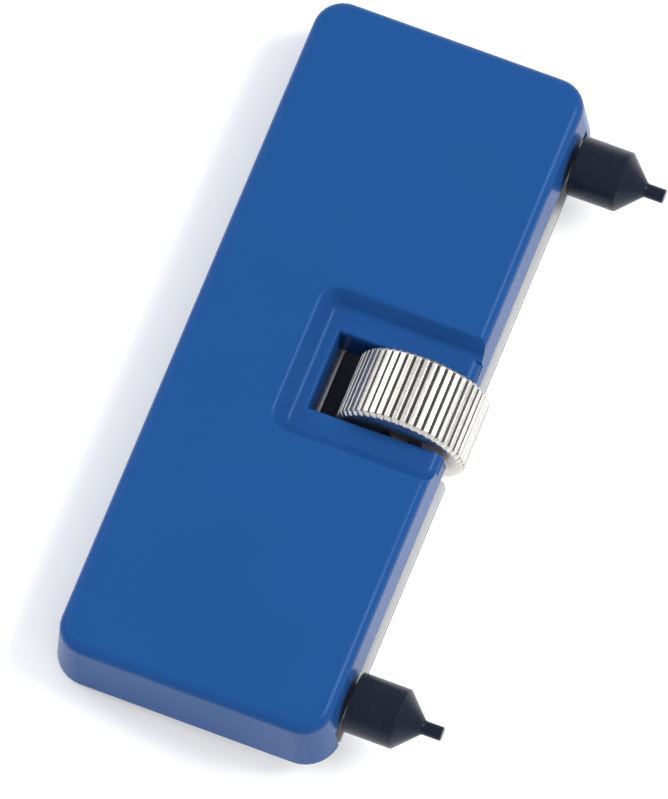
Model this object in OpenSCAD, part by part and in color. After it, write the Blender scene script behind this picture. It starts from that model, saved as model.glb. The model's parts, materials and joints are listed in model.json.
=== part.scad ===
// Adjustable two-jaw case back opener.
// A die-cast shell is closed from below by a steel base plate. A thumb wheel turns a lead
// screw with a left-hand and a right-hand thread, which moves two jaws in and out together.
// X runs along the tool, the jaws point to -Y, and +Z is up through the shell's top face.
// The origin is the middle of the thumb wheel, on the axis of the lead screw.

/* [Body] */
// Length of the shell
body_l = 92; // [84:1:112]
// Width of the shell without the jaws
body_w = 36.8; // [32:0.2:45]
// Thickness of the shell
body_t = 10.8; // [9.6:0.1:13]
// Radius of the upright corners at the underside
corner_r = 4.5; // [3.6:0.1:5.5]
// Radius of the rounded top edge
edge_r = 1.45; // [1.2:0.05:1.75]
// How far each wall leans in between the underside and the rounded edge
wall_lean = 0.7; // [0:0.05:0.85]
// Thickness of the side walls
wall = 1.6; // [1.35:0.05:1.9]
// Thickness of the top wall
roof = 1.4; // [1.2:0.05:1.7]
// Thickness of the base plate
plate_t = 0.8; // [0.7:0.05:0.95]

/* [Wheel] */
// Diameter over the knurl
wheel_d = 17; // [15:0.1:20]
// Length of the wheel along the screw
wheel_l = 9.4; // [8:0.1:11.2]
// Number of straight knurl teeth
wheel_teeth = 50; // [42:1:60]
// Depth of the finger recess round the wheel
recess_depth = 2.3; // [1.9:0.1:2.6]

/* [Jaws] */
// Diameter of a jaw
jaw_d = 7.7; // [7:0.1:8.4]
// Length of the cylindrical part of a jaw
jaw_l = 6.3; // [5:0.1:7.6]
// Length of the cone
cone_l = 2.85; // [2:0.05:3.5]
// Diameter of the pin that enters the notch of a case back
pin_d = 1.8; // [1.5:0.05:2.1]
// Length of the pin
pin_l = 2.45; // [1.8:0.05:3]

/* [Drive] */
// Major diameter of the lead screw's threads
screw_d = 4; // [3.6:0.1:4.4]
// Travel of one jaw per turn of the wheel
pitch = 1; // [0.7:0.05:1.2]
// Diameter of the guide rod
rod_d = 3; // [2.4:0.1:3.6]
// Length of a carrier along the screw
carrier_l = 7; // [6:0.1:8]

/* [Hidden] */
$fn = 48;

// Colours
blue = [0.11, 0.30, 0.58];
nickel = [0.80, 0.79, 0.76];
black_steel = [0.10, 0.10, 0.13];
brass = [0.78, 0.62, 0.30];
steel = [0.62, 0.63, 0.65];

// Clearances: running fit on a radius, gap between sliding faces, cut-through allowance
run_fit = 0.05;
slide_gap = 0.2;
eps = 0.05;

// Heights from the screw axis
jaw_lift = 0.35;
base_z = -(jaw_d / 2 + jaw_lift);
top_z = base_z + body_t;
roof_z = top_z - roof;
plate_z = base_z + plate_t;
floor_z = top_z - recess_depth;
floor_under = floor_z - roof;

// Places across the tool
axis_in = 6.8;
front_y = -axis_in;
back_y = front_y + body_w;
inner_front = front_y + wall;
inner_back = back_y - wall;
inner_x = body_l / 2 - wall;
inner_r = corner_r - wall;

// Recess and wheel window
window_gap = 0.55;
window_x = wheel_l / 2 + window_gap;
window_y = wheel_d / 2 + 3;
recess_top_x = window_x + 5.15;
recess_top_y = window_y + 4;
// Slope of the recess's sides, between the fillet at its foot and the rounded brow
recess_lean = 52;
recess_foot_r = 1.1;
recess_brow_r = 0.9;
recess_rise = recess_depth - (recess_foot_r + recess_brow_r) * (1 - cos(recess_lean));
recess_spread = recess_rise / tan(recess_lean) + (recess_foot_r + recess_brow_r) * sin(recess_lean);
recess_floor_x = recess_top_x - recess_spread;
recess_r = recess_spread + 0.15;
plate_window_x = window_x + 0.65;
plate_window_y = window_y - 0.3;
plate_window_r = 0.8;

// Skirt that hangs behind the window, down to the base plate
skirt_t = 0.9;

// Bearings of the screw
journal_d = screw_d - 1;
washer_t = 0.75;
rib_x = wheel_l / 2 + washer_t + 0.15;
rib_t = 2.2;
// A block's round top and its washer stay under the recess floor
block_r = min(screw_d / 2 + 0.7, floor_under - slide_gap);
washer_d = 2 * block_r;
end_block_t = 3.2;
end_block_x = inner_x - end_block_t;
end_gap = 0.1;
grub_r = 1.25;
grub_tip = screw_d / 2 - 0.3;

// Guide rod and carriers
rod_y = window_y + skirt_t + slide_gap + rod_d / 2;
carrier_front = inner_front + slide_gap;
carrier_back = rod_y + rod_d / 2 + 1.6;
carrier_low = plate_z + 0.15;
carrier_top = floor_under - 0.35;
end_block_front = -(journal_d / 2 + 1.2);
end_block_back = carrier_back + slide_gap;

// Nut in the carrier's pocket
nut_l = carrier_l - 2;
nut_w = screw_d + 1.4;
nut_low = -nut_w / 2;
nut_high = min(nut_w / 2, carrier_top);
thread_gap = 0.1;

// Reach of the jaws: widest at rest, narrowest beside the bearings
jaw_x = end_block_x - 0.4 - carrier_l / 2;
jaw_x_min = rib_x + rib_t + 0.4 + carrier_l / 2;
jaw_travel = jaw_x - jaw_x_min;

// Tongue of a carrier, in the slot under the front wall
slot_top = base_z + 4.5;
tongue_w = 0.6 * jaw_d;
tongue_low = -2.5;
tongue_top = min(slot_top - slide_gap, 0.1);
tongue_in_jaw = 3.2;
slot_x = jaw_x + jaw_d / 2 + 0.8;
jaw_back = front_y - 0.2;
jaw_front = jaw_back - jaw_l;
pin_base = jaw_front - cone_l;
pin_tip = pin_base - pin_l;
jaw_pin_d = 1.2;
jaw_pin_y = jaw_back - tongue_in_jaw / 2;

// Fasteners of the base plate
boss_r = 2.3;
boss_y = inner_back - boss_r;
screw_r = 1;
head_r = 1.7;
head_h = 0.7;
screw_len = 5;
boss_places = [for (x = [inner_x - 4, inner_x * 0.33]) for (s = [-1, 1]) [s * x, boss_y]];
block_screw_x = inner_x - head_r - 0.25;
block_places = [for (s = [-1, 1]) [s * block_screw_x, rod_y / 2 + 0.5]];
screw_places = concat(boss_places, block_places);

// ---- shared shapes ----

// Points of an arc round c, from angle a0 to a1
function arc(c, r, a0, a1, n = 6) =
    [for (i = [0:n]) let (a = a0 + (a1 - a0) * i / n) [c[0] + r * cos(a), c[1] + r * sin(a)]];

// A rectangle with round corners, extruded upwards
module rounded_plate(x0, x1, y0, y1, r, z0, z1) {
    translate([0, 0, z0]) linear_extrude(z1 - z0) {
        translate([x0 + r, y0]) square([x1 - x0 - 2 * r, y1 - y0]);
        translate([x0, y0 + r]) square([x1 - x0, y1 - y0 - 2 * r]);
        for (x = [x0 + r, x1 - r], y = [y0 + r, y1 - r]) translate([x, y]) circle(r);
    }
}

// A box given by its two opposite corners
module span(a, b) {
    translate(a) cube([b[0] - a[0], b[1] - a[1], b[2] - a[2]]);
}

// A round bar or bore along X
module along_x(r, x0, x1, y = 0, z = 0) {
    translate([x0, y, z]) rotate([0, 90, 0]) cylinder(r = r, h = x1 - x0);
}

// Both halves of a pair, the second one mirrored across the middle of the tool
module pair() {
    children();
    mirror([1, 0, 0]) children();
}

// ---- shell ----

// Outside of the shell before the recess is sunk: leaning walls, round corners and top edge
module shell_block() {
    foot = 0.25;
    side = concat([[foot, base_z], [0, base_z + foot]],
                  arc([wall_lean + edge_r, top_z - edge_r], edge_r, 180, 90));
    post = concat([[0, base_z]], [for (p = side) [corner_r - p[0], p[1]]], [[0, top_z]]);
    x = body_l / 2 - corner_r;
    hull() for (px = [-x, x], py = [front_y + corner_r, back_y - corner_r])
        translate([px, py, 0]) rotate_extrude($fn = 32) polygon(post);
}

// A thin slice of the recess, its outline moved inwards from the recess's top outline
module recess_slice(inset, z, thick = 0.01) {
    x = recess_top_x - inset;
    rounded_plate(-x, x, front_y - 4, recess_top_y - inset, recess_r - inset,
                  z, z + thick, $fn = 32);
}

// The finger recess: a flat floor, a rounded foot, sloping sides and a rounded brow
module recess_cutter() {
    foot = arc([recess_spread, floor_z + recess_foot_r], recess_foot_r, 270, 270 - recess_lean, 5);
    brow = arc([0, top_z - recess_brow_r], recess_brow_r, 90 - recess_lean, 90, 4);
    // Below the brow the hollow is convex, so one hull covers the floor, foot and slope
    hull() for (p = concat(foot, [brow[0]])) recess_slice(p[0], p[1]);
    for (i = [0:len(brow) - 2]) hull() {
        recess_slice(brow[i][0], brow[i][1]);
        recess_slice(brow[i + 1][0], brow[i + 1][1]);
    }
    recess_slice(0, top_z, 1);
}

// What rounds the front edge of the recess floor
module recess_lip_cutter() {
    y0 = front_y + wall_lean * (floor_z - base_z) / (body_t - edge_r);
    translate([-recess_floor_x, 0, 0]) rotate([90, 0, 90]) linear_extrude(2 * recess_floor_x)
        difference() {
            translate([y0 - 2, floor_z - edge_r]) square([2 + edge_r, edge_r + eps]);
            translate([y0 + edge_r, floor_z - edge_r]) circle(edge_r);
        }
}

// The room inside the shell, stepped down under the recess
module shell_cavity() {
    difference() {
        rounded_plate(-inner_x, inner_x, inner_front, inner_back, inner_r, base_z - eps, roof_z);
        span([-recess_top_x - roof * 0.7, inner_front - 1, floor_under],
             [recess_top_x + roof * 0.7, recess_top_y + roof * 0.7, roof_z + eps]);
    }
}

// Pedestal beside the wheel window, open downwards so that a bearing block drops in
module bearing_rib() {
    difference() {
        span([rib_x, inner_front - eps, plate_z], [rib_x + rib_t, window_y + 0.6, floor_under + eps]);
        along_x(block_r, rib_x - eps, rib_x + rib_t + eps);
        span([rib_x - eps, -block_r, plate_z - eps], [rib_x + rib_t + eps, block_r, 0]);
    }
}

// Wall behind the wheel that keeps dirt off the guide rod
module window_skirt() {
    x = rib_x + rib_t;
    span([-x, window_y, plate_z], [x, window_y + skirt_t, floor_under + eps]);
}

// Ledges that hold an end bearing block from the front and from behind
module end_ledges() {
    intersection() {
        span([end_block_x, inner_front - eps, plate_z],
             [inner_x + eps, end_block_front, roof_z + eps]);
        rounded_plate(0, inner_x + eps, inner_front - eps, inner_back, inner_r, plate_z, top_z);
    }
    span([end_block_x, end_block_back, plate_z],
         [inner_x + eps, end_block_back + 1.4, roof_z + eps]);
}

module top_shell() {
    color(blue) difference() {
        union() {
            difference() {
                shell_block();
                shell_cavity();
                recess_cutter();
                recess_lip_cutter();
            }
            pair() bearing_rib();
            window_skirt();
            pair() end_ledges();
            for (p = boss_places) translate([p[0], p[1], plate_z])
                cylinder(r = boss_r, h = roof_z - plate_z + eps);
        }
        // Window for the wheel, through the recess floor and the front wall
        span([-window_x, front_y - 1, base_z - 1], [window_x, window_y, top_z + 1]);
        // Slot under the front wall, in which the jaws travel
        span([-slot_x, front_y - 1, base_z - 1], [slot_x, inner_front + eps, slot_top]);
        for (p = boss_places) translate([p[0], p[1], plate_z - eps])
            cylinder(r = screw_r, h = screw_len - plate_t);
    }
}

// ---- base plate and its fasteners ----

module base_plate() {
    edge = 0.1;
    color(nickel) difference() {
        union() {
            rounded_plate(-inner_x + edge, inner_x - edge, inner_front + edge, inner_back - edge,
                          inner_r, base_z, plate_z);
            rounded_plate(-slot_x + edge, slot_x - edge, front_y + 0.05, 0, plate_window_r,
                          base_z, plate_z);
        }
        rounded_plate(-plate_window_x, plate_window_x, front_y - 6, plate_window_y,
                      plate_window_r, base_z - eps, plate_z + eps);
        // Corners of the front edge beside the window
        pair() difference() {
            span([plate_window_x - eps, front_y - 1, base_z - eps],
                 [plate_window_x + plate_window_r, front_y + 0.05 + plate_window_r, plate_z + eps]);
            translate([plate_window_x + plate_window_r, front_y + 0.05 + plate_window_r, base_z - 1])
                cylinder(r = plate_window_r, h = plate_t + 2);
        }
        for (p = screw_places) translate([p[0], p[1], base_z]) screw_hole();
    }
}

// Clearance hole with its countersink
module screw_hole() {
    translate([0, 0, -eps]) cylinder(r = screw_r + 0.1, h = plate_t + 2 * eps);
    translate([0, 0, -eps]) cylinder(r1 = head_r + 0.1, r2 = screw_r + 0.1, h = head_h + eps);
}

// Countersunk screws with a cross recess, all alike
module base_screws() {
    color(nickel) for (p = screw_places) translate([p[0], p[1], base_z]) difference() {
        union() {
            cylinder(r1 = head_r, r2 = screw_r, h = head_h);
            cylinder(r = screw_r, h = screw_len - 0.6);
        }
        for (a = [45, 135]) rotate(a) translate([-0.9, -0.16, -eps]) cube([1.8, 0.32, 0.4]);
    }
}

// ---- screw, wheel and bearings ----

// Lead screw: threaded lengths on both sides of the plain middle, journals at the ends
module lead_screw() {
    end = inner_x - end_gap - 0.2;
    plain = rib_x + rib_t + 0.2;
    relief = 0.6 * pitch;
    thread_depth = 0.45 * pitch;
    color(steel) {
        difference() {
            along_x(screw_d / 2, -plain, plain);
            translate([0, 0, -screw_d]) cylinder(r = grub_r, h = screw_d - grub_tip);
        }
        pair() {
            along_x(screw_d / 2 - thread_depth, plain - eps, plain + relief + eps);
            along_x(screw_d / 2, plain + relief, end_block_x - 0.3 - relief);
            along_x(journal_d / 2, end_block_x - 0.3 - relief - eps, end);
        }
    }
}

// Outline of the wheel: straight teeth with flat crests and V grooves
function knurl(r, n, depth) =
    [for (i = [0:n - 1]) for (p = [[-0.27, 0], [0.27, 0], [0.5, depth]])
        let (a = (i + p[0]) * 360 / n) [(r - p[1]) * cos(a), (r - p[1]) * sin(a)]];

module thumb_wheel() {
    chamfer = 0.5;
    r = wheel_d / 2;
    color(nickel) difference() {
        intersection() {
            translate([-wheel_l / 2, 0, 0]) rotate([0, 90, 0])
                linear_extrude(wheel_l) polygon(knurl(r, wheel_teeth, 0.35));
            rotate([0, 90, 0]) rotate_extrude($fn = 96) polygon([
                [0, -wheel_l / 2], [r - chamfer, -wheel_l / 2], [r + eps, -wheel_l / 2 + chamfer],
                [r + eps, wheel_l / 2 - chamfer], [r - chamfer, wheel_l / 2], [0, wheel_l / 2]]);
        }
        along_x(screw_d / 2, -wheel_l, wheel_l);
        rotate([180, 0, 0]) cylinder(r = grub_r, h = r + 1);
    }
}

// Grub screw with a hexagon socket, in the wheel's radial hole
module wheel_grub_screw() {
    head = wheel_d / 2 - 1.2;
    socket_r = 0.7;
    socket_deep = 1.3;
    color(black_steel) rotate([180, 0, 0]) difference() {
        translate([0, 0, grub_tip]) cylinder(r = grub_r, h = head - grub_tip);
        translate([0, 0, head - socket_deep]) cylinder(r = socket_r, h = 2, $fn = 6);
    }
}

module thrust_washer_right() {
    x = rib_x - washer_t;
    color(black_steel) difference() {
        along_x(washer_d / 2, x, rib_x);
        along_x(screw_d / 2 + run_fit, x - eps, rib_x + eps);
    }
}

module thrust_washer_left() {
    mirror([1, 0, 0]) thrust_washer_right();
}

// Bearing block with a round top and a flat foot on the base plate
module centre_bearing_right() {
    color(black_steel) difference() {
        union() {
            along_x(block_r, rib_x, rib_x + rib_t);
            span([rib_x, -block_r, plate_z], [rib_x + rib_t, block_r, 0]);
        }
        along_x(screw_d / 2 + run_fit, rib_x - eps, rib_x + rib_t + eps);
    }
}

module centre_bearing_left() {
    mirror([1, 0, 0]) centre_bearing_right();
}

// Block in each end of the shell, bored for the screw's journal and for the guide rod
module end_bearing_right() {
    x0 = end_block_x;
    x1 = inner_x - end_gap;
    color(brass) difference() {
        span([x0, end_block_front + end_gap, plate_z], [x1, end_block_back - end_gap, carrier_top]);
        along_x(journal_d / 2 + run_fit, x0 - eps, x1 + eps);
        along_x(rod_d / 2, x0 - eps, x1 + eps, rod_y);
        translate([block_places[1][0], block_places[1][1], plate_z - eps])
            cylinder(r = screw_r, h = screw_len - plate_t);
    }
}

module end_bearing_left() {
    mirror([1, 0, 0]) end_bearing_right();
}

module guide_rod() {
    end = inner_x - end_gap - 0.2;
    color(steel) along_x(rod_d / 2, -end, end, rod_y);
}

// ---- jaws and what moves them ----

// Steel block that slides on the guide rod and reaches out through the slot with its tongue
module carrier_right() {
    x0 = jaw_x - carrier_l / 2;
    x1 = jaw_x + carrier_l / 2;
    color(steel) difference() {
        union() {
            span([x0, carrier_front, carrier_low], [x1, carrier_back, carrier_top]);
            span([jaw_x - tongue_w / 2, jaw_back - tongue_in_jaw, tongue_low],
                 [jaw_x + tongue_w / 2, carrier_front + eps, tongue_top]);
        }
        along_x(rod_d / 2 + run_fit, x0 - eps, x1 + eps, rod_y);
        along_x(screw_d / 2 + thread_gap, x0 - eps, x1 + eps);
        span([jaw_x - nut_l / 2, -nut_w / 2, nut_low], [jaw_x + nut_l / 2, nut_w / 2, carrier_top + 1]);
        translate([jaw_x, jaw_pin_y, tongue_low - 1]) cylinder(r = jaw_pin_d / 2, h = 10);
    }
}

module carrier_left() {
    mirror([1, 0, 0]) carrier_right();
}

// Brass nut in the carrier's pocket
module nut_right() {
    color(brass) difference() {
        span([jaw_x - nut_l / 2, -nut_w / 2, nut_low], [jaw_x + nut_l / 2, nut_w / 2, nut_high]);
        along_x(screw_d / 2 + thread_gap, jaw_x - nut_l, jaw_x + nut_l);
    }
}

module nut_left() {
    mirror([1, 0, 0]) nut_right();
}

// Jaw: cylinder, cone and a short blunt pin, with a pocket at the back for the tongue
module jaw_right() {
    r = jaw_d / 2;
    root = pin_d / 2;
    bevel = 0.12;
    root_fillet = 0.5;
    cone_a = atan((r - root) / cone_l);
    fillet_c = [root + root_fillet, -pin_base + root_fillet * tan(cone_a / 2)];
    profile = concat(
        [[0, -jaw_back], [r - bevel, -jaw_back], [r, -jaw_back + bevel]],
        [[r, -jaw_front - bevel], [r - bevel, -jaw_front + bevel / 3]],
        arc(fillet_c, root_fillet, 180 + cone_a, 180, 4),
        [[root, -pin_tip - bevel], [root - bevel, -pin_tip], [0, -pin_tip]]);
    color(black_steel) translate([jaw_x, 0, 0]) difference() {
        rotate([90, 0, 0]) rotate_extrude() polygon(profile);
        span([-tongue_w / 2, jaw_back - tongue_in_jaw - slide_gap / 2, tongue_low],
             [tongue_w / 2, jaw_back + 1, tongue_top]);
        translate([0, jaw_pin_y, -r - 1]) cylinder(r = jaw_pin_d / 2, h = r + 2 + tongue_top);
    }
}

module jaw_left() {
    mirror([1, 0, 0]) jaw_right();
}

// Pin pressed in from below, through the tongue
module jaw_pin_right() {
    low = -jaw_d / 2 + 0.4;
    color(steel) translate([jaw_x, jaw_pin_y, low])
        cylinder(r = jaw_pin_d / 2, h = tongue_top + 0.9 - low);
}

module jaw_pin_left() {
    mirror([1, 0, 0]) jaw_pin_right();
}

top_shell();
base_plate();
base_screws();
lead_screw();
thumb_wheel();
wheel_grub_screw();
thrust_washer_left();
thrust_washer_right();
centre_bearing_left();
centre_bearing_right();
end_bearing_left();
end_bearing_right();
guide_rod();
carrier_left();
carrier_right();
nut_left();
nut_right();
jaw_left();
jaw_right();
jaw_pin_left();
jaw_pin_right();
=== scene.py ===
"""Visual model of an adjustable two-jaw case back opener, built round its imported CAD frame.

X runs along the tool, the jaws point to -Y and the enamelled face looks up, +Z. The origin is the
middle of the thumb wheel, on the axis of the threaded spindle. Every length is in metres.
"""

import json
import logging
import math
from collections.abc import Callable
from dataclasses import dataclass, field
from enum import Enum

import bpy
from mathutils import Matrix, Vector

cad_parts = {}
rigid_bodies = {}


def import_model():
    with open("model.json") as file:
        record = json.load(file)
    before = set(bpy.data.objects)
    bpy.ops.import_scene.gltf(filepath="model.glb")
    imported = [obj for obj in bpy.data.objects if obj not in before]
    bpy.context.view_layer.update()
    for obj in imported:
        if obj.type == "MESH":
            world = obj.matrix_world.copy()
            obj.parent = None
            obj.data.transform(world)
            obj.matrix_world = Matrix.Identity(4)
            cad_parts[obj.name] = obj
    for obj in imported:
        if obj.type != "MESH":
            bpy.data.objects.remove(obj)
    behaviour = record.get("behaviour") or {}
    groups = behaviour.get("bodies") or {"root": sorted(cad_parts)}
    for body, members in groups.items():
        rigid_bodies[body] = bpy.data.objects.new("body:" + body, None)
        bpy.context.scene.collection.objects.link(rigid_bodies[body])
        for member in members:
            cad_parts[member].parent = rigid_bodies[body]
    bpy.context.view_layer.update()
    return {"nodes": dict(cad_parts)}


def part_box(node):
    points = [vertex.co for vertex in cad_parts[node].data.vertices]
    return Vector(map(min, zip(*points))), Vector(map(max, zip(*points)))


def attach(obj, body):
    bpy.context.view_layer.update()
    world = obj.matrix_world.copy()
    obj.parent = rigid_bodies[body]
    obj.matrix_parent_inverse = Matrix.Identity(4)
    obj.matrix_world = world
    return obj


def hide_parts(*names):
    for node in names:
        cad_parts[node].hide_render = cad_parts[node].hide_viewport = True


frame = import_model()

MM = 0.001
TOUCHING = 0.002 * MM
# Two places within this of each other lie in one plane of a CAD shape
LEVEL = 0.02 * MM
# Faces of a CAD mesh that turn less than this from each other are one flat face, in degrees
FLAT_WITHIN = 0.4
# A face looks along an axis if its normal's share of that axis is above this
LOOKS_ALONG = 0.9
# How deep the grooves of the wheel's knurl are
KNURL_DEPTH = 0.35 * MM
LOG = logging.getLogger("case_back_opener")

Colour = tuple[float, float, float]
Range = tuple[float, float]


class Side(Enum):
    """The two ends of the tool, named as seen from above with the jaws towards the viewer."""

    LEFT = -1
    RIGHT = 1

    @property
    def word(self) -> str:
        """The side's name as CAD nodes end with it."""
        return self.name.lower()


class Hand(Enum):
    """The hand of a screw thread."""

    RIGHT_HAND = 1
    LEFT_HAND = -1


# ---- work on meshes ----


def deselect_all() -> None:
    """Leaves nothing selected and no active object."""
    for other in bpy.context.view_layer.objects:
        other.select_set(False)
    bpy.context.view_layer.objects.active = None


def take(piece: bpy.types.Object) -> None:
    """Makes one piece the only selected object and the active one.

    Args:
        piece: The object to work on.
    """
    deselect_all()
    piece.select_set(True)
    bpy.context.view_layer.objects.active = piece


def new_primitive(name: str, add: Callable[..., object], **sizes: object) -> bpy.types.Object:
    """Adds a primitive, names it and settles its place into its mesh.

    Args:
        name: The piece's name.
        add: The bpy.ops call that adds the primitive.
        **sizes: The call's arguments.

    Returns:
        The new object, at the origin and unturned.
    """
    deselect_all()
    add(**sizes)
    piece = bpy.context.object
    piece.name = name
    piece.data.name = name
    take(piece)
    bpy.ops.object.transform_apply(location=True, rotation=True, scale=True)
    return piece


def node_copy(node: str, name: str) -> bpy.types.Object:
    """Copies a CAD node's mesh into a new piece, merged into flat faces.

    Args:
        node: The CAD node.
        name: The new piece's name.

    Returns:
        The new object, not yet riding on a body.
    """
    piece = bpy.data.objects.new(name, frame["nodes"][node].data.copy())
    piece.data.name = name
    bpy.context.scene.collection.objects.link(piece)
    if piece.data.has_custom_normals:
        take(piece)
        bpy.ops.mesh.customdata_custom_splitnormals_clear()
    with EditMode(piece):
        bpy.ops.mesh.select_all(action="SELECT")
        bpy.ops.mesh.remove_doubles(threshold=TOUCHING)
        bpy.ops.mesh.dissolve_limited(angle_limit=math.radians(FLAT_WITHIN))
    return piece


class EditMode:
    """Opens a piece's mesh for editing and closes it again."""

    def __init__(self, piece: bpy.types.Object) -> None:
        """Keeps the piece that is edited."""
        self.piece = piece

    def __enter__(self) -> bpy.types.Object:
        """Enters edit mode on the piece alone.

        Returns:
            The piece.
        """
        take(self.piece)
        bpy.ops.object.mode_set(mode="EDIT")
        return self.piece

    def __exit__(self, *_: object) -> None:
        """Returns to object mode."""
        bpy.ops.object.mode_set(mode="OBJECT")


def select_faces(piece: bpy.types.Object, wanted: Callable[[Vector, Vector], bool]) -> None:
    """Selects the faces that a test picks. The piece is in object mode.

    Args:
        piece: The mesh object.
        wanted: Says from a face's middle and its normal whether to select it.
    """
    mesh = piece.data
    bpy.context.tool_settings.mesh_select_mode = (False, False, True)
    mesh.vertices.foreach_set("select", [False] * len(mesh.vertices))
    mesh.edges.foreach_set("select", [False] * len(mesh.edges))
    for face in mesh.polygons:
        face.select = wanted(face.center, face.normal)


def select_corners(piece: bpy.types.Object, wanted: Callable[[Vector], bool]) -> None:
    """Selects the vertices that a test picks. The piece is in object mode.

    Args:
        piece: The mesh object.
        wanted: Says from a vertex's place whether to select it.
    """
    mesh = piece.data
    bpy.context.tool_settings.mesh_select_mode = (True, False, False)
    mesh.polygons.foreach_set("select", [False] * len(mesh.polygons))
    mesh.edges.foreach_set("select", [False] * len(mesh.edges))
    for corner in mesh.vertices:
        corner.select = wanted(corner.co)


def apply_modifier(piece: bpy.types.Object, kind: str, **settings: object) -> None:
    """Adds a modifier to a piece and applies it.

    Args:
        piece: The mesh object.
        kind: The modifier's type.
        **settings: The modifier's settings.
    """
    take(piece)
    modifier = piece.modifiers.new(kind.title(), kind)
    for key, value in settings.items():
        setattr(modifier, key, value)
    bpy.ops.object.modifier_apply(modifier=modifier.name)


def ease_edges(piece: bpy.types.Object, width: float, sharper_than: float = 40.0) -> None:
    """Rounds every edge of a piece that is sharper than an angle.

    Args:
        piece: The mesh object.
        width: The bevel's width.
        sharper_than: The angle between the two faces, in degrees.
    """
    apply_modifier(
        piece, "BEVEL", width=width, segments=2, limit_method="ANGLE",
        angle_limit=math.radians(sharper_than), use_clamp_overlap=True,
        miter_outer="MITER_ARC", harden_normals=False,
    )


def ease_chosen(piece: bpy.types.Object, wanted: Callable[[Vector, Vector], bool], width: float) -> None:
    """Rounds the edges that a test picks.

    Args:
        piece: The mesh object.
        wanted: Says from an edge's two ends whether to round it.
        width: The rounding's width.
    """
    mesh = piece.data
    bpy.context.tool_settings.mesh_select_mode = (False, True, False)
    mesh.vertices.foreach_set("select", [False] * len(mesh.vertices))
    mesh.polygons.foreach_set("select", [False] * len(mesh.polygons))
    for edge in mesh.edges:
        edge.select = wanted(*(mesh.vertices[end].co for end in edge.vertices))
    LOG.info("%s: %d edges eased", piece.name, sum(edge.select for edge in mesh.edges))
    with EditMode(piece):
        bpy.ops.mesh.bevel(offset=width, segments=3, clamp_overlap=False)


def smooth(piece: bpy.types.Object, up_to: float = 35.0) -> None:
    """Shades a piece smooth up to an angle, with flat faces kept flat.

    Args:
        piece: The mesh object.
        up_to: Edges up to this angle shade smooth, in degrees.
    """
    take(piece)
    bpy.ops.object.shade_smooth_by_angle(angle=math.radians(up_to))
    apply_modifier(piece, "WEIGHTED_NORMAL", keep_sharp=True, weight=80)


def face_outwards(piece: bpy.types.Object) -> None:
    """Merges a piece's doubles and turns all its faces outwards.

    Args:
        piece: The mesh object.
    """
    with EditMode(piece):
        bpy.ops.mesh.select_all(action="SELECT")
        bpy.ops.mesh.remove_doubles(threshold=TOUCHING)
        bpy.ops.mesh.normals_make_consistent(inside=False)


def dress(piece: bpy.types.Object, material: bpy.types.Material) -> None:
    """Gives a piece or a CAD node one material all over.

    Args:
        piece: The mesh object.
        material: The finish.
    """
    if not piece.material_slots:
        piece.data.materials.append(material)
    for slot in piece.material_slots:
        slot.material = material


# ---- node trees ----


class Graph:
    """Adds the nodes of one node tree and joins them."""

    def __init__(self, tree: bpy.types.NodeTree) -> None:
        """Keeps the tree that nodes are added to."""
        self.tree = tree

    def add(
        self, kind: str, values: dict[str, object] | None = None, **settings: object,
    ) -> bpy.types.Node:
        """Adds a node.

        Args:
            kind: The node's type.
            values: What its input sockets are set or joined to, by socket name.
            **settings: The node's own settings.

        Returns:
            The new node.
        """
        node = self.tree.nodes.new(kind)
        for key, value in settings.items():
            setattr(node, key, value)
        for key, value in (values or {}).items():
            self.feed(node.inputs[key], value)
        return node

    def feed(self, socket: bpy.types.NodeSocket, value: object) -> None:
        """Joins an input socket to another node's output, or sets it.

        Args:
            socket: The input socket.
            value: An output socket, or a plain value.
        """
        if isinstance(value, bpy.types.NodeSocket):
            self.tree.links.new(value, socket)
        else:
            socket.default_value = value

    def math(self, operation: str, first: object, second: object = 0.0) -> bpy.types.NodeSocket:
        """Adds a Math node.

        Args:
            operation: The node's operation.
            first: Its first input.
            second: Its second input.

        Returns:
            The result's socket.
        """
        node = self.add("ShaderNodeMath", operation=operation)
        self.feed(node.inputs[0], first)
        self.feed(node.inputs[1], second)
        return node.outputs[0]

    def remap(self, value: object, old: Range, new: Range) -> bpy.types.NodeSocket:
        """Maps a value from one range onto another and clamps it.

        Args:
            value: The value's socket.
            old: The range it comes in.
            new: The range it leaves in.

        Returns:
            The result's socket.
        """
        names = ("From Min", "From Max", "To Min", "To Max")
        node = self.add("ShaderNodeMapRange", dict(zip(names, (*old, *new))))
        self.feed(node.inputs["Value"], value)
        return node.outputs["Result"]

    def mix(self, share: object, first: object, second: object) -> bpy.types.NodeSocket:
        """Mixes two colours.

        Args:
            share: How much of the second one shows.
            first: The first colour or socket.
            second: The second colour or socket.

        Returns:
            The mixed colour's socket.
        """
        node = self.add("ShaderNodeMix", data_type="RGBA")
        self.feed(node.inputs[0], share)
        for socket, colour in ((node.inputs[6], first), (node.inputs[7], second)):
            self.feed(socket, (*colour, 1.0) if isinstance(colour, tuple) else colour)
        return node.outputs[2]


def new_group(name: str, inputs: dict[str, object], outputs: dict[str, str]) -> tuple[Graph, dict, dict]:
    """Starts a shader node group.

    Args:
        name: The group's name.
        inputs: Input names and their default numbers, or "VECTOR" for a vector.
        outputs: Output names and their socket types.

    Returns:
        Its graph, its input sockets and its output sockets, by name.
    """
    tree = bpy.data.node_groups.new(name, "ShaderNodeTree")
    for key, value in inputs.items():
        kind = "NodeSocketVector" if value == "VECTOR" else "NodeSocketFloat"
        socket = tree.interface.new_socket(key, in_out="INPUT", socket_type=kind)
        if value != "VECTOR":
            socket.default_value = value
    for key, kind in outputs.items():
        tree.interface.new_socket(key, in_out="OUTPUT", socket_type=kind)
    graph = Graph(tree)
    start = graph.add("NodeGroupInput")
    end = graph.add("NodeGroupOutput")
    return graph, {s.name: s for s in start.outputs}, {s.name: s for s in end.inputs}


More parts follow.
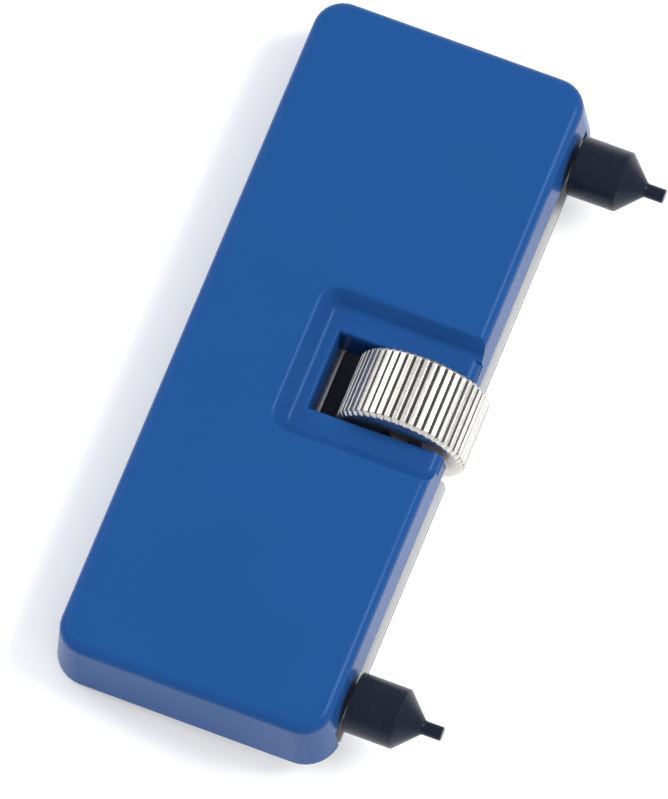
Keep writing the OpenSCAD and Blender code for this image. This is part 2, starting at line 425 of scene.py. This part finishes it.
def grain_group() -> bpy.types.NodeTree:
    """Builds the group for a fine even grain, with larger soft clouds of tone.

    Returns:
        The group. Its inputs are Grain Size and Cloud Size in metres; its outputs are Height and Tone.
    """
    graph, given, made = new_group(
        "surface_grain", {"Grain Size": 0.2 * MM, "Cloud Size": 12 * MM},
        {"Height": "NodeSocketFloat", "Tone": "NodeSocketFloat"},
    )
    place = graph.add("ShaderNodeTexCoord").outputs["Object"]
    for size, detail, out in (("Grain Size", 3.0, "Height"), ("Cloud Size", 2.0, "Tone")):
        scale = graph.math("DIVIDE", 1.0, given[size])
        noise = graph.add(
            "ShaderNodeTexNoise", {"Vector": place, "Scale": scale, "Detail": detail, "Roughness": 0.55},
        )
        graph.feed(made[out], noise.outputs["Fac"])
    return graph.tree


def edge_wear_group() -> bpy.types.NodeTree:
    """Builds the group that finds outer edges and breaks the line up with noise.

    Returns:
        The group. Its inputs are Width in metres, Amount and Patch Size; its output is Mask.
    """
    graph, given, made = new_group(
        "edge_wear", {"Width": 0.15 * MM, "Amount": 0.5, "Patch Size": 2 * MM},
        {"Mask": "NodeSocketFloat"},
    )
    # The cosine of the turn between the two normals, where the edge begins and where it is full
    turn = (0.995, 0.9)
    # The part of the noise over which a patch comes and goes
    breaks = (0.35, 0.65)
    rounded = graph.add("ShaderNodeBevel", {"Radius": given["Width"]}, samples=4)
    flat = graph.add("ShaderNodeNewGeometry")
    turned = graph.add("ShaderNodeVectorMath", operation="DOT_PRODUCT")
    graph.feed(turned.inputs[0], rounded.outputs["Normal"])
    graph.feed(turned.inputs[1], flat.outputs["Normal"])
    edge = graph.remap(turned.outputs["Value"], turn, (0.0, 1.0))
    place = graph.add("ShaderNodeTexCoord").outputs["Object"]
    patches = graph.add(
        "ShaderNodeTexNoise",
        {"Vector": place, "Scale": graph.math("DIVIDE", 1.0, given["Patch Size"]), "Detail": 4.0},
    )
    broken = graph.remap(patches.outputs["Fac"], breaks, (0.0, 1.0))
    mask = graph.math("MULTIPLY", edge, broken)
    graph.feed(made["Mask"], graph.math("MULTIPLY", mask, given["Amount"]))
    return graph.tree


def machining_group() -> bpy.types.NodeTree:
    """Builds the group for tool marks: noise drawn out along the directions with little stretch.

    Returns:
        The group. Its input Density is lines per metre along each axis; its outputs are Height and Tone.
    """
    graph, given, made = new_group(
        "machining_marks", {"Density": "VECTOR"},
        {"Height": "NodeSocketFloat", "Tone": "NodeSocketFloat"},
    )
    place = graph.add("ShaderNodeTexCoord").outputs["Object"]
    drawn = graph.add("ShaderNodeVectorMath", operation="MULTIPLY")
    graph.feed(drawn.inputs[0], place)
    graph.feed(drawn.inputs[1], given["Density"])
    for detail, scale, out in ((2.0, 1.0, "Height"), (4.0, 0.23, "Tone")):
        noise = graph.add(
            "ShaderNodeTexNoise", {"Vector": drawn.outputs["Vector"], "Scale": scale, "Detail": detail},
        )
        graph.feed(made[out], noise.outputs["Fac"])
    return graph.tree


@dataclass(frozen=True)
class Effects:
    """The node groups that the finishes share, and the metal finishes made so far."""

    grain: bpy.types.NodeTree = field(default_factory=grain_group)
    wear: bpy.types.NodeTree = field(default_factory=edge_wear_group)
    marks: bpy.types.NodeTree = field(default_factory=machining_group)
    made: dict[str, bpy.types.Material] = field(default_factory=dict)

    def place(self, graph: Graph, group: bpy.types.NodeTree, **values: object) -> bpy.types.Node:
        """Puts one of the groups into a material.

        Args:
            graph: The material's graph.
            group: The group.
            **values: The group's inputs, with _ for each space in a name.

        Returns:
            The group's node.
        """
        node = graph.add("ShaderNodeGroup", node_tree=group)
        for key, value in values.items():
            node.inputs[key.replace("_", " ")].default_value = value
        return node


def new_material(name: str) -> tuple[bpy.types.Material, Graph, bpy.types.Node]:
    """Starts a material.

    Args:
        name: The material's name.

    Returns:
        The material, its graph and its Principled BSDF.
    """
    material = bpy.data.materials.new(name)
    material.use_nodes = True
    return material, Graph(material.node_tree), material.node_tree.nodes["Principled BSDF"]


# ---- finishes ----


@dataclass(frozen=True)
class BlueEnamel:
    """Stoved blue enamel: satin, with a faint orange peel and paler worn edges."""

    colour: Colour = (0.0108, 0.0625, 0.219)
    cloudy: Colour = (0.0100, 0.0590, 0.207)
    worn: Colour = (0.034, 0.120, 0.350)
    sheen: float = 0.12
    sheen_tint: Colour = (0.42, 0.68, 1.0)
    roughness: Range = (0.23, 0.29)
    cloud_spread: Range = (0.1, 0.9)
    cloud_size: float = 18 * MM
    wear: float = 0.55
    wear_width: float = 0.22 * MM
    wear_patch: float = 3 * MM
    peel_size: float = 0.55 * MM
    peel_height: float = 0.0035 * MM

    def build(self, effects: Effects) -> bpy.types.Material:
        """Makes the material.

        Args:
            effects: The shared node groups.

        Returns:
            The material.
        """
        material, graph, surface = new_material("blue_enamel")
        grain = effects.place(
            graph, effects.grain, Grain_Size=self.peel_size, Cloud_Size=self.cloud_size,
        )
        wear = effects.place(
            graph, effects.wear, Width=self.wear_width, Amount=self.wear, Patch_Size=self.wear_patch,
        )
        tone = graph.remap(grain.outputs["Tone"], self.cloud_spread, (0.0, 1.0))
        paint = graph.mix(tone, self.colour, self.cloudy)
        graph.feed(surface.inputs["Base Color"], graph.mix(wear.outputs["Mask"], paint, self.worn))
        rough = graph.remap(grain.outputs["Tone"], self.cloud_spread, self.roughness)
        graph.feed(surface.inputs["Roughness"], rough)
        bump = graph.add(
            "ShaderNodeBump",
            {"Height": grain.outputs["Height"], "Distance": self.peel_height, "Strength": 1.0},
        )
        graph.feed(surface.inputs["Normal"], bump.outputs["Normal"])
        surface.inputs["Specular IOR Level"].default_value = self.sheen
        surface.inputs["Specular Tint"].default_value = (*self.sheen_tint, 1.0)
        return material


@dataclass(frozen=True)
class WorkedMetal:
    """Bare or plated metal with tool marks, uneven tone and brighter worn edges; on the black jaw these
    also stand in for the glint along its edges, a painted highlight.
    """

    name: str
    colour: Colour
    dull: Colour
    bright: Colour
    roughness: Range
    density: tuple[float, float, float]
    mark_height: float = 0.004 * MM
    mark_spread: Range = (0.25, 0.75)
    tone_spread: Range = (0.3, 0.7)
    metallic: float = 1.0
    specular: float = 0.5
    tint: Colour = (1.0, 1.0, 1.0)
    # Upright faces are painted this dark colour: a painted shade for the shadow line along the edges
    sheared: Colour | None = None
    sheared_below: Range = (0.2, 0.6)
    wear: float = 0.6
    wear_width: float = 0.12 * MM
    wear_patch: float = 1.5 * MM

    def build(self, effects: Effects) -> bpy.types.Material:
        """Makes the material.

        Args:
            effects: The shared node groups.

        Returns:
            The material.
        """
        material, graph, surface = new_material(self.name)
        self.paint(graph, surface, effects)
        return material

    def paint(self, graph: Graph, surface: bpy.types.Node, effects: Effects) -> bpy.types.NodeSocket:
        """Joins the metal's colour, roughness and bump to its surface.

        Args:
            graph: The material's graph.
            surface: Its Principled BSDF.
            effects: The shared node groups.

        Returns:
            The socket of the colour that was joined.
        """
        marks = effects.place(graph, effects.marks, Density=self.density)
        wear = effects.place(
            graph, effects.wear, Width=self.wear_width, Amount=self.wear, Patch_Size=self.wear_patch,
        )
        tone = graph.remap(marks.outputs["Tone"], self.tone_spread, (0.0, 1.0))
        metal = graph.mix(tone, self.dull, self.colour)
        colour = graph.mix(wear.outputs["Mask"], metal, self.bright)
        # Faces that stand upright are painted dark: a painted shade
        if self.sheared:
            facing = graph.add("ShaderNodeSeparateXYZ")
            graph.feed(facing.inputs[0], graph.add("ShaderNodeNewGeometry").outputs["True Normal"])
            level = graph.math("ABSOLUTE", facing.outputs[2])
            upright = graph.remap(level, self.sheared_below, (1.0, 0.0))
            colour = graph.mix(upright, colour, self.sheared)
        graph.feed(surface.inputs["Base Color"], colour)
        rough = graph.remap(marks.outputs["Height"], self.mark_spread, self.roughness)
        graph.feed(surface.inputs["Roughness"], rough)
        surface.inputs["Metallic"].default_value = self.metallic
        surface.inputs["Specular IOR Level"].default_value = self.specular
        surface.inputs["Specular Tint"].default_value = (*self.tint, 1.0)
        bump = graph.add(
            "ShaderNodeBump",
            {"Height": marks.outputs["Height"], "Distance": self.mark_height, "Strength": 1.0},
        )
        graph.feed(surface.inputs["Normal"], bump.outputs["Normal"])
        return colour


@dataclass(frozen=True)
class KnurledNickel(WorkedMetal):
    """Nickel on the thumb wheel: bright crests, and dark grime with a painted shade in the knurl's
    grooves.

    grime_depth is two shares of a groove's depth from its foot: the grime and painted shade are full up
    to the first and gone from the second.
    """

    # The colour deep in the grooves: dark grime, and a painted shade
    grime: Colour = (0.030, 0.028, 0.027)
    grime_share: float = 0.94
    grime_depth: Range = (0.5, 0.97)
    crest_r: float = 8.5 * MM
    groove_depth: float = KNURL_DEPTH
    knurl_end: float = 4.2 * MM
    knurl_fade: float = 0.1 * MM

    def build(self, effects: Effects) -> bpy.types.Material:
        """Makes the material.

        Args:
            effects: The shared node groups.

        Returns:
            The material.
        """
        material, graph, surface = new_material(self.name)
        metal = self.paint(graph, surface, effects)
        place = graph.add("ShaderNodeSeparateXYZ")
        graph.feed(place.inputs[0], graph.add("ShaderNodeTexCoord").outputs["Object"])
        across = [graph.math("ABSOLUTE", place.outputs[axis]) for axis in (1, 2)]
        squares = [graph.math("POWER", length, 2.0) for length in across]
        radius = graph.math("SQRT", graph.math("ADD", *squares))
        foot = self.crest_r - self.groove_depth
        # Deep in the grooves the nickel is painted dark and loses its metal: grime, and a painted shade
        darkened_band = tuple(foot + part * self.groove_depth for part in self.grime_depth)
        deep = graph.remap(radius, darkened_band, (1.0, 0.0))
        along = graph.math("ABSOLUTE", place.outputs[0])
        rim = graph.remap(along, (self.knurl_end, self.knurl_end + self.knurl_fade), (1.0, 0.0))
        share = graph.math("MULTIPLY", graph.math("MULTIPLY", deep, rim), self.grime_share)
        graph.feed(surface.inputs["Base Color"], graph.mix(share, metal, self.grime))
        graph.feed(surface.inputs["Metallic"], graph.math("SUBTRACT", 1.0, share))
        return material


# Lines per metre: turned marks run round an axis, brushed ones run along it
TURNED_X = (9000.0, 300.0, 300.0)
TURNED_Y = (300.0, 9000.0, 300.0)
TURNED_Z = (300.0, 300.0, 9000.0)
BRUSHED_X = (60.0, 7000.0, 7000.0)
CAST = (1800.0, 1800.0, 1800.0)

# The plate's upright faces are painted near black, a painted shade along its edges
NICKEL_PLATE = WorkedMetal(
    "brushed_nickel", (0.86, 0.86, 0.85), (0.77, 0.77, 0.76), (0.90, 0.89, 0.87),
    (0.42, 0.58), BRUSHED_X, metallic=0.55, sheared=(0.06, 0.06, 0.065), wear=0.15,
)
NICKEL_SCREWS = WorkedMetal(
    "nickel_screws", (0.72, 0.70, 0.67), (0.56, 0.54, 0.52), (0.88, 0.87, 0.84),
    (0.22, 0.36), CAST, wear_width=0.08 * MM,
)
NICKEL_WHEEL = KnurledNickel(
    "knurled_nickel", (0.72, 0.69, 0.65), (0.58, 0.55, 0.52), (0.90, 0.88, 0.85),
    (0.24, 0.38), TURNED_X, wear=0.4, wear_width=0.06 * MM,
)
# The jaw's paler edges are wear and a painted glint along its edges
BLACK_JAW = WorkedMetal(
    "black_jaw_steel", (0.0050, 0.0068, 0.0140), (0.0032, 0.0044, 0.0095), (0.055, 0.060, 0.078),
    (0.22, 0.34), TURNED_Y, mark_height=0.003 * MM, metallic=0.0, specular=0.27,
    tint=(0.60, 0.70, 1.0), wear=0.8,
)
BLACK_SCREW = WorkedMetal(
    "black_screw_steel", (0.013, 0.013, 0.016), (0.009, 0.009, 0.011), (0.09, 0.09, 0.10),
    (0.28, 0.42), TURNED_Z, metallic=0.35, wear=0.7,
)
GROUND_STEEL = WorkedMetal(
    "ground_steel", (0.56, 0.56, 0.57), (0.44, 0.44, 0.455), (0.75, 0.75, 0.76),
    (0.18, 0.30), TURNED_X,
)
MILLED_STEEL = WorkedMetal(
    "milled_steel", (0.42, 0.42, 0.435), (0.31, 0.31, 0.325), (0.68, 0.68, 0.69),
    (0.26, 0.42), BRUSHED_X,
)
TURNED_STEEL = WorkedMetal(
    "turned_steel", (0.50, 0.50, 0.51), (0.38, 0.38, 0.39), (0.74, 0.74, 0.75),
    (0.20, 0.34), TURNED_Z,
)
TURNED_BRASS = WorkedMetal(
    "turned_brass", (0.72, 0.50, 0.20), (0.55, 0.36, 0.13), (0.88, 0.68, 0.34),
    (0.20, 0.36), TURNED_X,
)


def finish(metal: WorkedMetal, effects: Effects) -> bpy.types.Material:
    """Finds a metal finish that is already made, or makes it.

    Args:
        metal: The finish.
        effects: The shared node groups.

    Returns:
        The material.
    """
    if metal.name not in effects.made:
        effects.made[metal.name] = metal.build(effects)
    return effects.made[metal.name]


# ---- sub-assemblies ----


def settle(piece: bpy.types.Object, body: str, slot: str, *nodes: str) -> bpy.types.Object:
    """Lets a finished piece ride on its body in place of its CAD nodes.

    Args:
        piece: The finished piece.
        body: The CAD body it rides on.
        slot: The record's material slot; not used.
        *nodes: The CAD nodes that it stands for.

    Returns:
        The piece.
    """
    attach(piece, body)
    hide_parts(*nodes)
    return piece


@dataclass
class Case:
    """The enamelled shell, the plate that closes it and what is fixed inside."""

    effects: Effects
    body: str = "case"
    shell_edge: float = 0.6 * MM
    window_gap: float = 0.55 * MM
    window_behind: float = 3.0 * MM
    shortest_rim: float = 1.0 * MM
    recess_depth: float = 2.3 * MM
    plate_edge: float = 0.06 * MM
    screw_edge: float = 0.04 * MM
    black_nodes: tuple[str, ...] = ("thrust_washer", "centre_bearing")
    brass_nodes: tuple[str, ...] = ("end_bearing",)

    def build(self) -> list[bpy.types.Object]:
        """Builds and dresses the case.

        Returns:
            The new pieces.
        """
        for side in Side:
            for node in self.black_nodes:
                dress(frame["nodes"][f"{node}_{side.word}"], finish(BLACK_SCREW, self.effects))
            for node in self.brass_nodes:
                dress(frame["nodes"][f"{node}_{side.word}"], finish(TURNED_BRASS, self.effects))
        dress(frame["nodes"]["guide_rod"], finish(GROUND_STEEL, self.effects))
        return [self.shell(), self.plate(), self.screws()]

    def shell(self) -> bpy.types.Object:
        """Makes the shell from its CAD node, with eased edges.

        Returns:
            The shell.
        """
        piece = node_copy("top_shell", "enamelled_shell")
        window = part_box("thumb_wheel")[1].x + self.window_gap
        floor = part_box("top_shell")[1].z - self.recess_depth
        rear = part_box("thumb_wheel")[1].z + self.window_behind

        def at_window(first: Vector, second: Vector) -> bool:
            """Says whether an edge is the window's rim in the recess floor.

            Args:
                first: One end of the edge.
                second: Its other end.

            Returns:
                Whether it is.
            """
            level = all(abs(end.z - floor) < LEVEL for end in (first, second))
            side = all(abs(abs(end.x) - window) < LEVEL for end in (first, second))
            back = all(abs(end.y - rear) < LEVEL for end in (first, second))
            return level and (side or back) and (first - second).length > self.shortest_rim

        ease_chosen(piece, at_window, self.shell_edge)
        smooth(piece)
        dress(piece, BlueEnamel().build(self.effects))
        return settle(piece, self.body, "blue_paint", "top_shell")

    def plate(self) -> bpy.types.Object:
        """Makes the closing plate, with its cut edges eased.

        Returns:
            The plate.
        """
        piece = node_copy("base_plate", "closing_plate")
        ease_edges(piece, self.plate_edge)
        smooth(piece)
        dress(piece, finish(NICKEL_PLATE, self.effects))
        return settle(piece, self.body, "nickel_plate", "base_plate")

    def screws(self) -> bpy.types.Object:
        """Makes the six countersunk screws.

        Returns:
            The screws, as one piece.
        """
        piece = node_copy("base_screws", "plate_screws")
        ease_edges(piece, self.screw_edge, sharper_than=60.0)
        smooth(piece)
        dress(piece, finish(NICKEL_SCREWS, self.effects))
        return settle(piece, self.body, "nickel_plate", "base_screws")


@dataclass
class DriveScrew:
    """The spindle with its two threads, the thumb wheel on it and the wheel's grub screw."""

    effects: Effects
    body: str = "drive_screw"
    teeth: int = 50
    corners_per_tooth: int = 4
    groove_depth: float = KNURL_DEPTH
    chamfer: float = 0.5 * MM
    tooth_edge: float = 0.07 * MM
    pitch: float = 1.0 * MM
    thread_depth: float = 0.45 * MM
    thread_crest: float = 0.22
    thread_steps: int = 28
    relief: float = 0.6 * MM
    bearing_gap: float = 0.2 * MM
    block_gap: float = 0.3 * MM
    core_gap: float = 0.05 * MM
    bar_sides: int = 48
    bar_chamfer: float = 0.2 * MM
    grub_edge: float = 0.08 * MM

    def build(self) -> list[bpy.types.Object]:
        """Builds and dresses the wheel, the spindle and the grub screw, and returns them."""
        return [self.wheel(), self.spindle(), self.grub_screw()]

    def wheel(self) -> bpy.types.Object:
        """Turns the wheel and cuts its straight knurl.

        Returns:
            The wheel.
        """
        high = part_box("thumb_wheel")[1]
        radius = high.z
        half = high.x
        corners = self.corners_per_tooth * self.teeth
        piece = new_primitive(
            "knurled_wheel", bpy.ops.mesh.primitive_cylinder_add, vertices=corners, radius=radius,
            depth=2 * (half - self.chamfer), rotation=(0.0, math.pi / 2, 0.0),
        )
        step = math.tau / corners

        def at_groove(place: Vector) -> bool:
            """Says whether a vertex of the rim is the foot of a groove."""
            corner = round(math.atan2(place.z, place.y) / step) % self.corners_per_tooth
            return corner == self.corners_per_tooth // 2

        select_corners(piece, at_groove)
        with EditMode(piece):
            deeper = (radius - self.groove_depth) / radius
            bpy.ops.transform.resize(value=(1.0, deeper, deeper), center_override=(0.0, 0.0, 0.0))
        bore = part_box("lead_screw")[1].z / radius
        for side in Side:
            select_faces(piece, lambda middle, normal, s=side.value: normal.x * s > LOOKS_ALONG)
            with EditMode(piece):
                bpy.ops.mesh.extrude_region_move(
                    TRANSFORM_OT_translate={"value": (side.value * self.chamfer, 0.0, 0.0)}
                )
                self.draw_in(1 - self.chamfer / radius, side.value * half)
                bpy.ops.mesh.extrude_region_move(TRANSFORM_OT_translate={"value": (0.0, 0.0, 0.0)})
                self.draw_in(bore * radius / (radius - self.chamfer), side.value * half)
                bpy.ops.mesh.delete(type="ONLY_FACE")
        with EditMode(piece):
            bpy.context.tool_settings.mesh_select_mode = (False, True, False)
            bpy.ops.mesh.select_all(action="DESELECT")
            bpy.ops.mesh.select_non_manifold()
            bpy.ops.mesh.bridge_edge_loops()
        face_outwards(piece)
        ease_edges(piece, self.tooth_edge, sharper_than=24.0)
        smooth(piece, up_to=30.0)
        dress(piece, finish(NICKEL_WHEEL, self.effects))
        return settle(piece, self.body, "nickel_wheel", "thumb_wheel")

    def draw_in(self, share: float, x: float) -> None:
        """Scales the selected end face, which is at x, to a share of its radius."""
        bpy.ops.transform.resize(value=(1.0, share, share), center_override=(x, 0.0, 0.0))

    def spindle(self) -> bpy.types.Object:
        """Makes the spindle: plain middle, relief, journals and the two threads.

        Returns:
            The spindle, as one piece.
        """
        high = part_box("lead_screw")[1]
        radius = high.z
        rib_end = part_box("centre_bearing_right")[1].x
        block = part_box("end_bearing_right")[0].x
        plain = rib_end + self.bearing_gap
        start = plain + self.relief
        turns = int((block - self.block_gap - self.relief - start) / self.pitch)
        parts = [
            self.bar("spindle_core", radius - self.thread_depth - self.core_gap, high.x),
            self.bar("spindle_middle", radius, plain),
        ]
        parts += [self.thread(hand, start, turns, radius) for hand in Hand]
        take(parts[0])
        for part in parts:
            part.select_set(True)
        bpy.ops.object.join()
        piece = bpy.context.object
        piece.name = "threaded_spindle"
        smooth(piece, up_to=30.0)
        dress(piece, finish(GROUND_STEEL, self.effects))
        return settle(piece, self.body, "steel", "lead_screw")

    def bar(self, name: str, radius: float, half: float) -> bpy.types.Object:
        """Turns a round bar along X with chamfered ends.

        Args:
            name: Its name.
            radius: Its radius.
            half: Half its length.

        Returns:
            The bar.
        """
        piece = new_primitive(
            name, bpy.ops.mesh.primitive_cylinder_add, vertices=self.bar_sides, radius=radius,
            depth=2 * half, rotation=(0.0, math.pi / 2, 0.0),
        )
        select_faces(piece, lambda middle, normal: abs(normal.x) > LOOKS_ALONG)
        with EditMode(piece):
            bpy.ops.mesh.bevel(offset=self.bar_chamfer, segments=2)
        return piece

    def thread(self, hand: Hand, start: float, turns: int, radius: float) -> bpy.types.Object:
        """Winds one thread round the X axis.

        Args:
            hand: The thread's hand. The right-hand thread is on the side of +X.
            start: Where it starts along the axis.
            turns: Its number of turns.
            radius: Its major radius.

        Returns:
            The thread, closed at both ends.
        """
        name = f"thread_{hand.name.lower()}"
        piece = new_primitive(
            name, bpy.ops.mesh.primitive_plane_add, size=1.0, rotation=(math.pi / 2, 0.0, 0.0),
        )
        foot = radius - self.thread_depth
        with EditMode(piece):
            bpy.ops.mesh.select_all(action="SELECT")
            bpy.ops.transform.resize(value=(self.pitch, 1.0, self.thread_depth))
            middle = (start + self.pitch / 2, 0.0, foot + self.thread_depth / 2)
            bpy.ops.transform.translate(value=middle)
        select_corners(piece, lambda place: place.z > radius - TOUCHING)
        with EditMode(piece):
            bpy.ops.transform.resize(value=(self.thread_crest, 1.0, 1.0), center_override=middle)
        select_corners(piece, lambda place: place.z < foot + TOUCHING)
        with EditMode(piece):
            bpy.ops.mesh.select_mode(type="EDGE")
            bpy.ops.mesh.delete(type="EDGE")
        apply_modifier(
            piece, "SCREW", axis="X", screw_offset=self.pitch, iterations=turns, angle=math.tau,
            steps=self.thread_steps, render_steps=self.thread_steps, use_merge_vertices=True,
            merge_threshold=TOUCHING,
        )
        if hand is Hand.LEFT_HAND:
            with EditMode(piece):
                bpy.ops.mesh.select_all(action="SELECT")
                bpy.ops.transform.resize(value=(-1.0, 1.0, 1.0), center_override=(0.0, 0.0, 0.0))
        with EditMode(piece):
            bpy.ops.mesh.select_all(action="SELECT")
            bpy.ops.mesh.remove_doubles(threshold=TOUCHING)
            bpy.ops.mesh.fill_holes(sides=0)
        face_outwards(piece)
        return piece

    def grub_screw(self) -> bpy.types.Object:
        """Makes the wheel's socketed grub screw.

        Returns:
            The grub screw.
        """
        piece = node_copy("wheel_grub_screw", "grub_screw")
        ease_edges(piece, self.grub_edge, sharper_than=60.0)
        smooth(piece)
        dress(piece, finish(BLACK_SCREW, self.effects))
        return settle(piece, self.body, "black_steel", "wheel_grub_screw")


@dataclass
class JawSlide:
    """One jaw with the carrier, nut and cross pin that move with it."""

    effects: Effects
    side: Side
    carrier_edge: float = 0.15 * MM
    pin_edge: float = 0.12 * MM

    def build(self) -> list[bpy.types.Object]:
        """Builds and dresses the slide.

        Returns:
            The new pieces.
        """
        end = self.side.word
        dress(frame["nodes"][f"nut_{end}"], finish(TURNED_BRASS, self.effects))
        return [
            self.piece("carrier", "carrier_block", MILLED_STEEL, "steel", self.carrier_edge),
            self.piece("jaw", "jaw_head", BLACK_JAW, "black_steel"),
            self.piece("jaw_pin", "cross_pin", TURNED_STEEL, "steel", self.pin_edge),
        ]

    def piece(
        self, node: str, name: str, metal: WorkedMetal, slot: str, edge: float = 0.0,
    ) -> bpy.types.Object:
        """Makes one piece of the slide from its CAD node.

        Args:
            node: The CAD node's name without its side.
            name: The piece's name without its side.
            metal: Its finish.
            slot: The record's material slot.
            edge: How far its edges are eased.

        Returns:
            The piece.
        """
        end = self.side.word
        piece = node_copy(f"{node}_{end}", f"{name}_{end}")
        if edge:
            ease_edges(piece, edge)
        smooth(piece)
        dress(piece, finish(metal, self.effects))
        return settle(piece, f"{end}_slide", slot, f"{node}_{end}")


# ---- studio ----


@dataclass
class Studio:
    """A pale table that the tool rests on, a soft key light, fills and a pale room."""

    target: Vector
    floor_size: float = 6.0
    floor_colour: Colour = (0.85, 0.85, 0.85)
    # floor_shade is a painted shade under the wheel's window; floor_glow is a painted light that lifts
    # the table's shadows
    floor_shade: Colour = (0.06, 0.065, 0.09)
    floor_glow: float = 0.15
    glow_colour: Colour = (1.0, 0.995, 0.98)
    floor_roughness: float = 0.85
    floor_sheen: float = 0.1
    shade_middle: tuple[float, float, float] = (0.0, 10 * MM, 0.0)
    shade_reach: Range = (8 * MM, 14 * MM)
    key_place: tuple[float, float, float] = (0.30, -0.72, 0.80)
    key_size: float = 0.42
    key_power: float = 8.5
    fill_place: tuple[float, float, float] = (0.05, 0.90, 0.75)
    fill_size: float = 0.8
    fill_power: float = 4.0
    room_colour: Colour = (0.97, 0.98, 1.0)
    room: float = 0.92

    def build(self) -> None:
        """Lays the floor, hangs the lights and colours the room."""
        self.floor()
        self.light("key_light", Vector(self.key_place), self.key_size, self.key_power)
        self.light("fill_light", Vector(self.fill_place), self.fill_size, self.fill_power)
        world = bpy.data.worlds.new("pale_room")
        bpy.context.scene.world = world
        world.use_nodes = True
        back = world.node_tree.nodes["Background"]
        back.inputs["Color"].default_value = (*self.room_colour, 1.0)
        back.inputs["Strength"].default_value = self.room

    def floor(self) -> None:
        """Lays a faintly glowing table top under the wheel and the rear edge of the tool, where it
        rests.
        """
        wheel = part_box("thumb_wheel")
        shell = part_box("top_shell")
        radius = wheel[1].z
        rear = Vector((shell[1].y, shell[0].z))
        # The line through the rear edge that touches the wheel from below
        tilt = math.asin(radius / rear.length) + math.atan2(rear.y, rear.x)
        normal = Vector((0.0, -math.sin(tilt), math.cos(tilt)))
        deselect_all()
        bpy.ops.mesh.primitive_plane_add(
            size=self.floor_size, location=normal * -radius, rotation=(tilt, 0.0, 0.0),
        )
        table = bpy.context.object
        table.name = "table_top"
        dress(table, self.table_finish())

    def table_finish(self) -> bpy.types.Material:
        """Makes the table's finish, which glows a little to lift its shadows, a painted light, and can't
        be seen from below.

        Returns:
            The material.
        """
        material, graph, surface = new_material("pale_table")
        # Right under the wheel's window the table is painted dark and its glow is taken out, a painted
        # shade
        distance = graph.add("ShaderNodeVectorMath", operation="DISTANCE")
        graph.feed(distance.inputs[0], graph.add("ShaderNodeTexCoord").outputs["Object"])
        graph.feed(distance.inputs[1], self.shade_middle)
        open_table = graph.remap(distance.outputs["Value"], self.shade_reach, (0.0, 1.0))
        colour = graph.mix(open_table, self.floor_shade, self.floor_colour)
        glow = graph.math("MULTIPLY", open_table, self.floor_glow)
        graph.feed(surface.inputs["Base Color"], colour)
        graph.feed(surface.inputs["Emission Strength"], glow)
        surface.inputs["Emission Color"].default_value = (*self.glow_colour, 1.0)
        surface.inputs["Roughness"].default_value = self.floor_roughness
        surface.inputs["Specular IOR Level"].default_value = self.floor_sheen
        clear = graph.add("ShaderNodeBsdfTransparent")
        geometry = graph.add("ShaderNodeNewGeometry")
        both = graph.add("ShaderNodeMixShader")
        graph.feed(both.inputs[0], geometry.outputs["Backfacing"])
        graph.feed(both.inputs[1], surface.outputs[0])
        graph.feed(both.inputs[2], clear.outputs[0])
        output = material.node_tree.nodes["Material Output"]
        graph.feed(output.inputs["Surface"], both.outputs[0])
        return material

    def light(self, name: str, offset: Vector, size: float, power: float) -> None:
        """Hangs a square soft light that faces the tool.

        Args:
            name: Its name.
            offset: Its place from the tool.
            size: Its side.
            power: Its power in watts.
        """
        lamp = bpy.data.lights.new(name, "AREA")
        lamp.shape = "SQUARE"
        lamp.size = size
        lamp.energy = power
        holder = bpy.data.objects.new(name, lamp)
        holder.location = self.target + offset
        holder.rotation_euler = (-offset).to_track_quat("-Z", "Y").to_euler()
        bpy.context.scene.collection.objects.link(holder)


@dataclass
class ProductCamera:
    """A long lens that looks down on the tool from behind its left end."""

    target: Vector
    elevation: float = math.radians(70.13)
    azimuth: float = math.radians(-63.64)
    roll: float = math.radians(-5.03)
    distance: float = 1.680
    sensor: float = 36.0
    lens: float = 618.6
    clip: Range = (0.05, 20.0)
    aside: Vector = field(default_factory=lambda: Vector((0.106 * MM, 2.145 * MM)))

    def build(self) -> None:
        """Sets the camera up and makes it the scene's."""
        azimuth, elevation = self.azimuth, self.elevation
        back = Vector((
            math.sin(azimuth) * math.cos(elevation),
            -math.cos(azimuth) * math.cos(elevation),
            math.sin(elevation),
        ))
        level = Vector((math.cos(azimuth), math.sin(azimuth), 0.0))
        upright = back.cross(level)
        right = math.cos(self.roll) * level + math.sin(self.roll) * upright
        up = back.cross(right)
        lens = bpy.data.cameras.new("product_camera")
        lens.sensor_width = self.sensor
        lens.lens = self.lens
        lens.clip_start, lens.clip_end = self.clip
        camera = bpy.data.objects.new("product_camera", lens)
        place = self.target - self.aside.x * right - self.aside.y * up + self.distance * back
        turned = Matrix((right, up, back)).transposed().to_4x4()
        camera.matrix_world = Matrix.Translation(place) @ turned
        bpy.context.scene.collection.objects.link(camera)
        bpy.context.scene.camera = camera


def view_target() -> Vector:
    """Finds the place that the camera and the lights are hung round.

    Returns:
        A place in the shell, a little in front of its middle and above the spindle.
    """
    front, above = 1.4 * MM, 0.8 * MM
    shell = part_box("top_shell")
    return Vector((0.0, (shell[0].y + shell[1].y) / 2 - front, above))


def main() -> None:
    """Builds the tool and its studio, and reports each piece."""
    logging.basicConfig(level=logging.INFO, format="%(message)s")
    bpy.context.scene.view_settings.view_transform = "Standard"
    effects = Effects()
    assemblies = [Case(effects), DriveScrew(effects), *(JawSlide(effects, side) for side in Side)]
    for assembly in assemblies:
        for piece in assembly.build():
            faces = len(piece.data.polygons)
            LOG.info("%s: %s, %d faces", type(assembly).__name__, piece.name, faces)
    target = view_target()
    ProductCamera(target).build()
    Studio(target).build()


if __name__ == "__main__":
    main()
